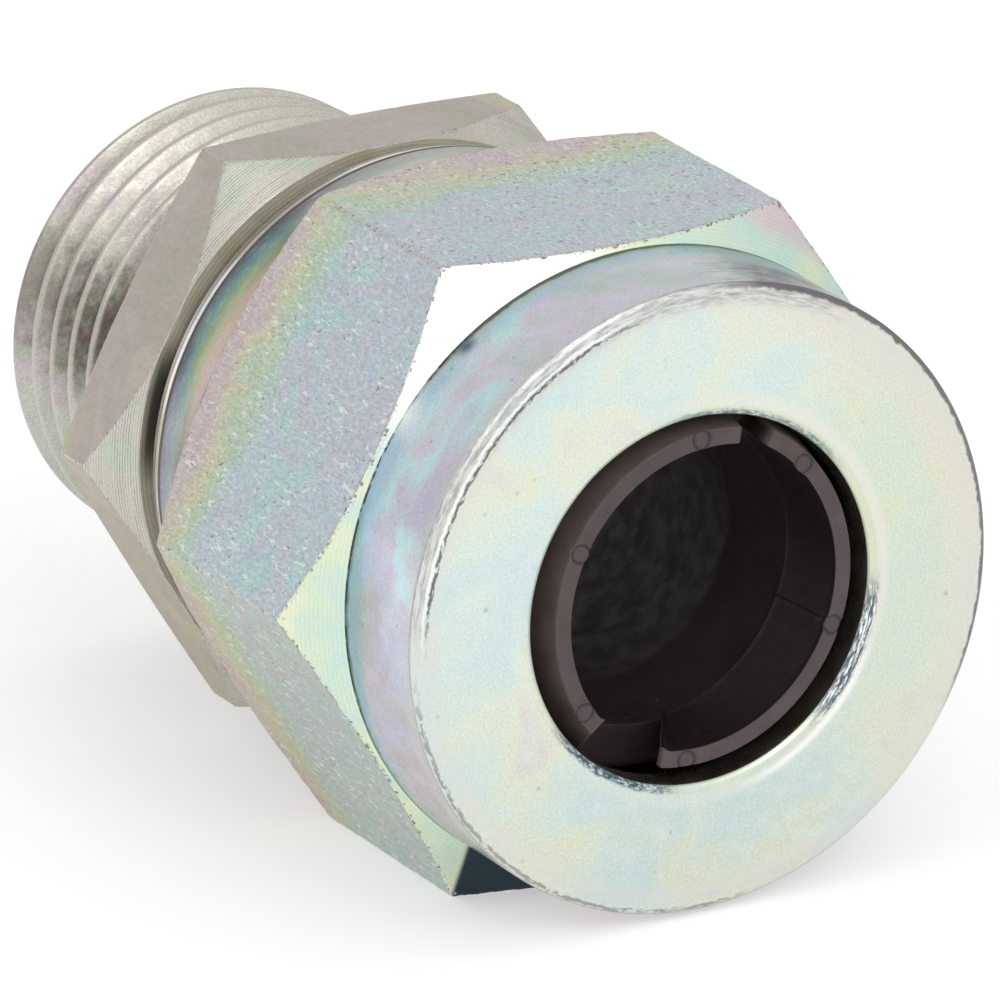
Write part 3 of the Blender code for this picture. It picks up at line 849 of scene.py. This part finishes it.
def zinc_nose():
    """Turned side of the nose: lilac and blue, cyan towards the top, rose below, with dark lines along the
    shoulder painted as shade, a painted highlight on the upper left and a painted dark reflection on the top
    right.
    """
    f = Finish("zinc_nose_side", Metallic=1.0)
    parts = f.math("DIVIDE", f.across()[1], NOSE_RADIUS)
    drift = f.linear(f.noise(5.0, 3.0, distortion=0.6), 1.8, -1.06)
    level = f.linear(f.plus(parts, drift), 0.5, 0.5)
    f.colour = f.ramp(level, (0.1, (0.5, 0.43, 0.4)), (0.3, (0.5, 0.45, 0.48)), (0.45, (0.5, 0.53, 0.66)),
                      (0.6, (0.58, 0.54, 0.66)), (0.71, (0.54, 0.78, 0.8)), (0.83, (0.66, 0.6, 0.7)),
                      (0.92, (0.52, 0.6, 0.56)), (0.98, (0.5, 0.54, 0.58)))
    f.paint(f.span(f.noise(1.3, detail=4.0, offset=(5.0, 1.0, 3.0)), 0.4, 0.75, 0.0, 0.45),
            (0.64, 0.68, 0.74))
    station = f.station()
    blue = f.plus(station, f.linear(f.noise(2.0, 3.0, offset=(2, 2, 2)), 1.6, -0.8))
    f.paint(f.span(blue, 3.9, 5.2), (0.34, 0.54, 0.68), 0.65)
    f.paint(f.span(blue, 1.5, 0.3), (0.6, 0.6, 0.57), 0.55)
    high = f.side(0.0, 0.6, 0.9)
    f.paint(f.times(f.span(station, 5.0, 5.5), high), (0.42, 0.44, 0.26), 0.65)
    # painted shade: a dark line where the nose meets the cone, at the top and lower left
    dark = f.span(f.plus(station, f.linear(f.noise(0.7, 3.0), 0.4, -0.2)), 5.42, 5.6)
    lower = f.times(f.side(-120.0, 0.55, 0.9), 0.75)
    f.paint(f.times(dark, f.most(high, lower)), (0.1, 0.14, 0.14))
    # painted shade: a broken, darker line at the foot of the shoulder on the left
    foot = f.times(f.span(station, 5.6, 5.66), f.span(f.noise(0.6, 3.0, offset=(5, 5, 1)), 0.4, 0.5))
    foot = f.times(foot, f.side(-72.0, 0.7, 0.85))
    f.paint(foot, (0.05, 0.045, 0.03), 0.9)
    f.paint(f.near(-36.0, NOSE_RADIUS, 5.3, 0.75), (0.06, 0.09, 0.16), 0.9)
    # painted highlight: a pale patch by the shoulder on the upper left
    f.paint(f.near(-52.0, NOSE_RADIUS, 5.4, 1.6), (0.86, 0.93, 0.93), 0.8)
    # painted dark reflection: a dark smear on the top right of the nose, near the face
    shade = f.plus(f.toward(38.0), f.linear(f.noise(1.0, 3.0, stretch=(1, 2.5, 1)), 0.2, -0.1))
    shade = f.times(f.span(shade, 0.84, 0.98), f.span(station, 4.2, 2.2, 0.35, 1.0))
    f.paint(shade, (0.07, 0.07, 0.08), 0.9)
    f.paint(f.specks(0.7, (1.0, 5.0, 2.0), 0.18, 0.06, 0.84, 0.88), (0.25, 0.25, 0.22), 0.5)
    f.colour = f.grain(f.colour, 0.12, 0.09)
    f.bump(f.waves(station, 0.22), 0.0008)
    f.bump(f.noise(0.3, 3.0), 0.005)
    return f.done(f.noise(1.2, 3.0), 0.22, 0.3)


def zinc_cone():
    """Turned cones of the nut's hexagon: cream, mint and yellow-green, rose at the outer corners, with a
    painted highlight at the upper-left corner and a painted dark reflection at the lower corner.
    """
    f = Finish("zinc_turned_cone", Metallic=1.0)
    f.colour = f.ramp(f.noise(3.4, detail=2.0, distortion=0.4, offset=(1.7, 2.4, 7.9)),
                      (0.3, (0.54, 0.76, 0.62)), (0.45, (0.6, 0.76, 0.68)), (0.55, (0.66, 0.78, 0.6)),
                      (0.68, (0.78, 0.8, 0.6)))
    outer = f.plus(f.radius(), f.times(f.noise(1.2, 3.0, offset=(4, 1, 2)), 1.4))
    f.paint(f.span(outer, 16.0, 17.0, 0.0, 0.75), (0.86, 0.84, 0.58))
    # painted highlight: near-white on the cone at the upper-left corner
    top = f.side(-30.0, 0.86, 0.97)
    f.paint(top, (0.9, 0.91, 0.84))
    right = f.times(f.side(36.0, 0.95, 0.999), f.span(outer, 15.4, 16.4))
    f.paint(right, (0.7, 0.54, 0.62), 0.8)
    # painted dark reflection: a dark navy triangle on the cone at the lower corner
    parts = f.across()
    f.paint(f.times(f.span(parts[0], -8.42, -8.15), f.span(parts[1], -9.4, -9.9)), (0.03, 0.05, 0.062))
    rings = f.waves(f.radius(), 0.16)
    f.colour = f.scale(f.grain(f.colour, 0.12, 0.04), f.span(rings, -1.0, 1.0, 0.97, 1.02))
    wear = f.mark("edge_wear")
    ragged = f.stray(wear, f.noise(0.25, 4.0, 0.65), 0.9)
    f.paint(f.span(ragged, 0.88, 1.0), (0.74, 0.72, 0.7))
    dark = f.times(f.span(wear, 0.6, 0.85), f.span(f.noise(0.2, 3.0, offset=(3, 3, 3)), 0.54, 0.6))
    f.paint(dark, (0.12, 0.11, 0.1), 0.8)
    f.bump(rings, 0.0012)
    return f.done(f.noise(1.2, 3.0), 0.24, 0.32)


def zinc_skirt():
    """Turned skirt behind the hexagon: interference colours in bands from tan through green, darkening to
    navy towards the bead as painted shade.
    """
    f = Finish("zinc_skirt", Metallic=1.0)
    station = f.station()
    drift = f.times(f.minus(f.noise(4.5, 2.5, offset=(3, 3, 9)), 0.5), 2.6)
    # the ramp's last, darkest stops towards the bead are painted shade
    along = f.linear(f.plus(station, drift), 0.2, -4.04)
    f.colour = f.ramp(along, (0.05, (0.5, 0.38, 0.34)), (0.25, (0.56, 0.42, 0.3)), (0.42, (0.34, 0.42, 0.22)),
                      (0.56, (0.2, 0.34, 0.27)), (0.68, (0.14, 0.23, 0.26)), (0.8, (0.07, 0.09, 0.14)),
                      (0.92, (0.13, 0.14, 0.16)))
    lower = f.side(-100.0, 0.8, 0.96)
    f.paint(lower, (0.4, 0.38, 0.46), 0.55)
    upper = f.side(5.0, 0.75, 0.97)
    f.paint(upper, (0.48, 0.46, 0.4), 0.6)
    f.paint(f.span(f.noise(0.5, 4.0, stretch=(1, 2.0, 1), offset=(6, 2, 6)), 0.45, 0.75, 0.0, 0.3),
            (0.6, 0.6, 0.54))
    # painted shade: a dark line in the notch before the bead
    f.paint(f.band(station, 24.16, 24.28, 24.42, 24.52), (0.16, 0.12, 0.09))
    f.colour = f.grain(f.colour, 0.12, 0.1)
    rings = f.waves(station, 0.18)
    f.bump(rings, 0.0012)
    return f.done(f.noise(1.2, 3.0), 0.24, 0.32)


def zinc_bead():
    """Rolled bead at the nut's rim: bright, with blue and rose glints and small nicks; its rear is painted
    dark as shade, with a thin painted highlight line.
    """
    f = Finish("zinc_bead", Metallic=1.0)
    f.colour = f.ramp(f.noise(2.2, detail=2.0, offset=(1, 2, 3)), (0.35, (0.66, 0.78, 0.86)),
                      (0.5, (0.86, 0.88, 0.86)), (0.62, (0.84, 0.8, 0.74)))
    f.paint(f.span(f.noise(0.35, 3.0, offset=(8, 8, 1)), 0.66, 0.72), (0.26, 0.24, 0.2), 0.7)
    # the bead's rear is painted dark as shade, with a thin painted highlight line across it
    station = f.station()
    back = f.ramp(f.linear(station, 1.0, -24.5), (0.42, (0.26, 0.23, 0.19)), (0.62, (0.4, 0.37, 0.3)),
                  (0.74, (0.66, 0.64, 0.56)), (0.84, (0.3, 0.27, 0.22)), (0.98, (0.12, 0.11, 0.09)))
    f.paint(f.span(station, 24.8, 24.92), back)
    f.bump(f.noise(0.3, 3.0), 0.006)
    return f.done(f.noise(0.8, 3.0), 0.16, 0.24)


def rolled(name, ramp, patch, pits, flecks, back_edge, grit, lift, rough_low, rough_high):
    """Hexagon flats: rolled-bar surface with pits, axial flecks painted light as glints, painted highlights
    on one side of each pit, and worn edges under the chromate.

    pits and flecks are densities from 0 to 1; back_edge is the station of the flats' rear edge, where the
    chromate turns green, yellow and rose; grit is the contrast of the grain and lift its relief in mm.
    """
    f = Finish(name, Metallic=1.0)
    f.colour = f.ramp(f.noise(patch, detail=3.5, roughness=0.6, distortion=0.5, offset=(6.1, 0.4, 2.2)),
                      *ramp)
    drift = f.times(f.minus(f.noise(3.2, 3.0, 0.6, 0.4, offset=(1, 5, 2)), 0.5), 5.5)
    behind = f.plus(f.minus(f.station(), back_edge), drift)
    rear = f.ramp(f.linear(behind, 0.15, 1.0), (0.25, (0.46, 0.62, 0.54)), (0.48, (0.52, 0.63, 0.44)),
                  (0.66, (0.64, 0.6, 0.4)), (0.86, (0.62, 0.48, 0.49)))
    f.paint(f.span(behind, -6.2, -3.4, 0.0, 0.9), rear)
    along = (1.0, 0.4, 1.0)
    f.paint(f.span(f.noise(0.42, detail=4.0, stretch=along, offset=(2.0, 8.0, 5.0)), 0.35, 0.7, 0.0,
                   2.2 * grit), (0.6, 0.65, 0.62))
    f.paint(f.times(f.side(-120.0, 0.855, 0.875), 0.9), f.mix(1.0, f.colour, (0.82, 0.81, 0.7), "MULTIPLY"))
    f.colour = f.grain(f.colour, 0.13, grit, stretch=along)
    region = f.noise(2.6, 3.0, offset=(0, 3, 8))
    limit = f.linear(region, -0.22, 0.84 - 0.12 * flecks)
    spots = f.noise(0.21, 2.0, 0.6, stretch=(1.0, 0.34, 1.0), offset=(8, 1, 3))
    fleck = f.steep(spots, limit, 28.0)
    edge = f.linear(region, -0.26, 0.88 - 0.1 * pits)
    edge = f.minus(edge, f.side(0.0, 0.855, 0.875, 0.0, 0.035))
    hollow = f.noise(0.24, 2.5, 0.6, stretch=(1.0, 0.75, 1.0), offset=(2, 6, 4))
    hole = f.steep(hollow, edge, 26.0)
    # painted highlight: a light rim on one side of each pit, from the pit pattern shifted a little
    pit_highlight_noise = f.noise(0.24, 2.5, 0.6, stretch=(1.0, 0.75, 1.0), offset=(2.0, 6.25, 4.3))
    lip = f.steep(pit_highlight_noise, edge, 26.0)
    f.paint(lip, (0.84, 0.9, 0.84), 0.45)
    # the light flecks are raised by the bump below and also painted light as glints
    f.paint(fleck, (0.88, 0.94, 0.86), 0.6)
    f.paint(hole, (0.17, 0.18, 0.16), 0.62)
    scratch = f.span(f.noise(0.9, 2.0, stretch=(1, 0.12, 6.0), offset=(5, 0, 5)), 0.735, 0.76)
    f.paint(scratch, (0.24, 0.22, 0.18), 0.4)
    wear = f.mark("edge_wear")
    ragged = f.stray(wear, f.noise(0.25, 4.0, 0.65), 0.9)
    f.paint(f.span(ragged, 0.45, 0.95, 0.0, 0.4), (0.56, 0.5, 0.47))
    f.paint(f.span(ragged, 0.93, 1.1), (0.76, 0.71, 0.68))
    dark = f.times(f.span(wear, 0.62, 0.8), f.span(f.noise(0.19, 3.0, offset=(3, 3, 3)), 0.58, 0.63))
    f.paint(dark, (0.14, 0.13, 0.12), 0.65)
    f.bump(f.noise(0.2, 4.0, 0.65, stretch=along), lift)
    height = f.minus(f.times(fleck, 0.5), hole)
    f.bump(height, 0.022)
    return f.done(f.noise(0.5, 4.0, 0.6, stretch=along, offset=(4, 4, 1)), rough_low, rough_high)


def zinc_nut_flats():
    ramp = ((0.28, (0.48, 0.66, 0.62)), (0.4, (0.48, 0.63, 0.65)), (0.48, (0.52, 0.6, 0.67)),
            (0.55, (0.56, 0.56, 0.64)), (0.62, (0.49, 0.64, 0.64)), (0.74, (0.58, 0.66, 0.56)))
    return rolled("zinc_rolled_nut", ramp, 4.2, 0.9, 0.9, 19.8, 0.15, 0.022, 0.33, 0.46)


def zinc_body_flats():
    ramp = ((0.3, (0.44, 0.42, 0.34)), (0.42, (0.47, 0.43, 0.37)), (0.5, (0.49, 0.43, 0.39)),
            (0.58, (0.55, 0.48, 0.42)), (0.64, (0.55, 0.52, 0.35)), (0.71, (0.48, 0.49, 0.37)))
    return rolled("zinc_rolled_body", ramp, 5.5, -1.2, -0.9, 38.0, 0.06, 0.003, 0.36, 0.42)


def zinc_grooved():
    """Front cone of the body: fine concentric tool marks of uneven strength."""
    f = Finish("zinc_grooved", Metallic=1.0)
    f.colour = f.ramp(f.noise(3.0, detail=3.0, offset=(1, 1, 1)), (0.35, (0.56, 0.56, 0.49)),
                      (0.5, (0.6, 0.56, 0.51)), (0.62, (0.53, 0.58, 0.48)))
    radius = f.radius()
    waver = f.linear(f.noise(0.9, 2.0), 0.04, radius)
    line = f.waves(waver, 0.085)
    uneven = f.span(f.noise(0.24, 2.0, 0.6, stretch=(0.05, 1.0, 0.05), offset=(4, 4, 4), place=f.polar()),
                    0.35, 0.65)
    strength = f.times(f.span(line, 0.1, 0.95), f.linear(uneven, 0.45, 0.15))
    f.paint(strength, (0.18, 0.16, 0.14))
    f.colour = f.scale(f.colour, f.side(-20.0, 0.7, 0.95, 1.0, 0.8))
    f.colour = f.grain(f.colour, 0.1, 0.1)
    f.bump(line, 0.0012)
    f.bump(f.noise(0.2, 3.0), 0.006)
    return f.done(f.noise(0.8, 3.0), 0.3, 0.4)


def zinc_band():
    """Front face of the body's hexagon, next to the nut: dull olive, with painted shade near the neck and on
    the left, where the nut shades it.
    """
    f = Finish("zinc_front_face", Metallic=0.35)
    radius = f.radius()
    f.colour = f.ramp(f.noise(2.4, detail=3.0, offset=(6, 6, 2)), (0.36, (0.66, 0.61, 0.44)),
                      (0.5, (0.72, 0.66, 0.54)), (0.64, (0.6, 0.64, 0.44)))
    lines = f.waves(radius, 0.19)
    f.colour = f.scale(f.colour, f.span(lines, -1.0, 1.0, 0.92, 1.12))
    # painted shade near the neck, behind the nut's rim
    f.paint(f.span(radius, 12.2, 11.8, 0.0, 0.75), (0.1, 0.09, 0.07))
    # painted shade on the left, where the nut shades the face
    shade = f.times(f.side(-78.0, 0.955, 0.998), f.span(radius, 12.75, 12.4, 0.35, 1.0))
    f.paint(shade, (0.035, 0.03, 0.022), 0.9)
    f.colour = f.grain(f.colour, 0.1, 0.12)
    f.bump(f.noise(0.2, 3.0), 0.01)
    return f.done(f.noise(0.8, 3.0), 0.36, 0.48)


def zinc_thread():
    """Hub thread: satin grey-beige with rose and green tints, dark olive on one side as a painted dark
    reflection, painted shade in the roots and pale crests as a painted highlight.
    """
    f = Finish("zinc_thread", Metallic=1.0)
    height = f.mark("edge_wear")
    f.colour = f.ramp(f.noise(3.6, detail=3.0, distortion=0.7, stretch=(1, 1.5, 1), offset=(7, 3, 1)),
                      (0.28, (0.48, 0.54, 0.46)), (0.42, (0.54, 0.53, 0.46)), (0.52, (0.53, 0.5, 0.46)),
                      (0.6, (0.5, 0.43, 0.45)), (0.66, (0.52, 0.5, 0.4)), (0.76, (0.46, 0.54, 0.44)))
    f.paint(f.side(0.0, 0.72, 0.97, 0.0, 0.8), (0.55, 0.53, 0.46))
    f.paint(f.side(-118.0, 0.7, 0.96, 0.0, 0.55), (0.5, 0.56, 0.48))
    rose = f.times(f.side(-96.0, 0.955, 0.995), f.span(f.noise(1.0, 2.0, offset=(1, 1, 7)), 0.46, 0.6))
    f.paint(rose, (0.54, 0.38, 0.5), 0.4)
    # painted dark reflection: dark olive on the left side of the thread, strongest on the flanks
    edge = f.noise(1.1, 3.0, 0.65, stretch=(1, 2.2, 1), offset=(9, 1, 4))
    side = f.stray(f.toward(-72.0), edge, 0.14)
    dark = f.times(f.span(side, 0.93, 1.01), f.span(height, 0.98, 0.86, 0.3, 1.0))
    dark = f.times(dark, f.span(height, 0.05, 0.45, 0.45, 1.0))
    dark = f.times(dark, f.span(f.station(), 42.0, 38.0, 0.6, 1.0))
    shade = f.ramp(f.noise(0.8, 3.0, offset=(2, 7, 7)), (0.35, (0.085, 0.095, 0.065)),
                   (0.52, (0.12, 0.115, 0.08)), (0.66, (0.11, 0.055, 0.065)))
    f.paint(dark, shade, 0.86)
    # painted shade in the thread's roots
    f.paint(f.times(f.span(height, 0.16, 0.04), 0.28), (0.26, 0.24, 0.2))
    f.colour = f.grain(f.colour, 0.11, 0.13)
    # painted highlight along the crests
    f.paint(f.span(height, 0.97, 1.0, 0.0, 0.3), (0.62, 0.55, 0.48))
    f.bump(f.noise(0.2, 3.0, 0.6), 0.014)
    return f.done(f.noise(0.8, 3.0), 0.34, 0.46)


def zinc_inside():
    """Inside and neck surfaces: duller zinc with turning marks."""
    f = Finish("zinc_inside", Metallic=1.0)
    f.colour = f.ramp(f.noise(2.6, detail=3.0, offset=(2, 5, 2)), (0.32, (0.42, 0.46, 0.42)),
                      (0.5, (0.48, 0.48, 0.43)), (0.66, (0.52, 0.47, 0.4)))
    f.colour = f.grain(f.colour, 0.14, 0.12)
    f.bump(f.waves(f.station(), 0.3), 0.002)
    f.bump(f.noise(0.25, 3.0), 0.008)
    return f.done(f.noise(1.0, 3.0), 0.24, 0.36)


def ring_plastic():
    """Dark brown moulded plastic in lit and shaded copies: satin face, warmer outer cone painted lighter as
    painted light, nearly black inner wall and web as painted shade, a little dust.
    """
    f = Finish("brown_moulded_plastic", IOR=1.5)
    zone = f.math("DIVIDE", f.mark("zone"), 3.0)
    # lit and shaded copies of one plastic: the outer cone lighter as painted light, the inner wall and web
    # nearly black as painted shade
    f.colour = f.ramp(zone, (0.0, (0.01, 0.004, 0.004)), (0.22, (0.014, 0.007, 0.007)),
                      (0.3, (0.058, 0.039, 0.039)), (0.4, (0.058, 0.039, 0.039)),
                      (0.6, (0.085, 0.066, 0.058)), (0.75, (0.085, 0.066, 0.058)),
                      (1.0, (0.024, 0.016, 0.014)))
    cloud = f.noise(1.2, detail=4.0)
    f.colour = f.scale(f.colour, f.span(cloud, 0.3, 0.7, 0.86, 1.14))
    f.colour = f.grain(f.colour, 0.09, 0.1)
    f.paint(f.mark("outline"), (0.008, 0.006, 0.006), 0.75)
    f.paint(f.specks(0.5, (5, 5, 5), 0.12, 0.05, 0.88, 0.92), (0.26, 0.22, 0.2), 0.5)
    f.bump(f.noise(0.1, 3.0, 0.6), 0.005)
    return f.done(f.noise(0.5, 3.0), 0.44, 0.56)


def bushing_rubber():
    """Black rubber with a faint bloom and specks of dust."""
    f = Finish("black_bushing_rubber", IOR=1.5)
    f.colour = f.ramp(f.noise(2.2, detail=4.0), (0.35, (0.017, 0.01, 0.012)), (0.68, (0.028, 0.016, 0.019)))
    f.paint(f.specks(0.65, (1, 8, 5), 0.1, 0.04, 0.74, 0.78), (0.2, 0.18, 0.18), 0.6)
    f.bump(f.noise(0.14, 4.0, 0.6), 0.01)
    return f.done(f.noise(0.9, 3.0), 0.5, 0.66)

# ---------------------------------------------------------------- pieces

inside = zinc_inside()
nut = build_nut([zinc_face(), zinc_nose(), inside, zinc_nut_flats(), zinc_cone(), zinc_skirt(), zinc_bead()])
body = build_body([zinc_body_flats(), zinc_thread(), inside, zinc_grooved(), zinc_band()])
ring = build_ring([ring_plastic()])
bushing = build_bushing([bushing_rubber()])

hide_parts("fitting_body")
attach(body, "fitting")
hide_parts("gland_nut")
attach(nut, "nut")
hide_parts("grip_ring")
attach(ring, "cord_grip")
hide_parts("sealing_bushing")
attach(bushing, "cord_grip")


# ---------------------------------------------------------------- stage

def build_floor():
    """Plain pale floor."""
    size = 3.0
    mesh = bpy.data.meshes.new("studio_floor")
    corners = [(-size, -size, 0), (size, -size, 0), (size, size, 0), (-size, size, 0)]
    mesh.from_pydata(corners, [], [(0, 1, 2, 3)])
    f = Finish("pale_floor", Roughness=0.9, Specular_IOR_Level=0.0, Base_Color=(0.62, 0.62, 0.62, 1.0),
               Emission_Color=(1.0, 1.0, 1.0, 1.0), Emission_Strength=0.42)
    mesh.materials.append(f.material)
    floor_plane = bpy.data.objects.new("studio_floor", mesh)
    bpy.context.scene.collection.objects.link(floor_plane)


def build_sky():
    """White surroundings, a little darker behind the object and brighter above its front."""
    world = bpy.data.worlds.new("studio")
    bpy.context.scene.world = world
    world.use_nodes = True
    tree = world.node_tree
    background = tree.nodes["Background"]
    direction = tree.nodes.new("ShaderNodeTexCoord")
    toward = tree.nodes.new("ShaderNodeVectorMath")
    toward.operation = "DOT_PRODUCT"
    toward.inputs[1].default_value = Vector((-0.15, -0.80, 0.58)).normalized()
    tree.links.new(direction.outputs["Generated"], toward.inputs[0])
    ramp = tree.nodes.new("ShaderNodeValToRGB")
    stops = [(0.0, 0.86), (0.5, 0.80), (0.75, 0.95), (0.95, 1.15)]
    while len(ramp.color_ramp.elements) < len(stops):
        ramp.color_ramp.elements.new(1.0)
    for element, (position, level) in zip(ramp.color_ramp.elements, stops):
        element.position, element.color = position, (level, level, level, 1.0)
    share = tree.nodes.new("ShaderNodeMapRange")
    share.inputs["From Min"].default_value = -1.0
    tree.links.new(toward.outputs["Value"], share.inputs["Value"])
    tree.links.new(share.outputs["Result"], ramp.inputs["Fac"])
    tree.links.new(ramp.outputs["Color"], background.inputs["Color"])


def add_softbox(name, location, target, size, power):
    lamp = bpy.data.lights.new(name, "AREA")
    lamp.shape, lamp.size, lamp.energy = "SQUARE", size, power
    thing = bpy.data.objects.new(name, lamp)
    thing.location = location
    thing.rotation_mode = "QUATERNION"
    thing.rotation_quaternion = (Vector(target) - Vector(location)).to_track_quat("-Z", "Y")
    bpy.context.scene.collection.objects.link(thing)


def build_camera():
    lens = bpy.data.cameras.new("photo_camera")
    lens.sensor_width, lens.lens = 36.0, 532.66
    lens.clip_start, lens.clip_end = 0.05, 20.0
    camera = bpy.data.objects.new("photo_camera", lens)
    right = Vector((0.8729, -0.4876, -0.0141)).normalized()
    back = Vector((-0.4537, -0.8223, 0.3435))
    back = (back - right * back.dot(right)).normalized()
    up = back.cross(right)
    nose = Vector((0.0, NOSE_Y * MM, AXIS_Z * MM))
    spot = nose + back * 0.626 - right * 0.008542 + up * 0.004277
    rows = [(right[i], up[i], back[i], spot[i]) for i in range(3)] + [(0, 0, 0, 1)]
    camera.matrix_world = Matrix(rows)
    bpy.context.scene.collection.objects.link(camera)
    bpy.context.scene.camera = camera


build_floor()
build_sky()
add_softbox("softbox_front", (-0.12, -0.95, 0.80), (0, 0, 0.012), 0.55, 2.2)
add_softbox("softbox_left", (-1.0, -0.1, 0.7), (0, 0, 0.012), 0.5, 0.8)
build_camera()
bpy.context.scene.view_settings.view_transform = "Standard"
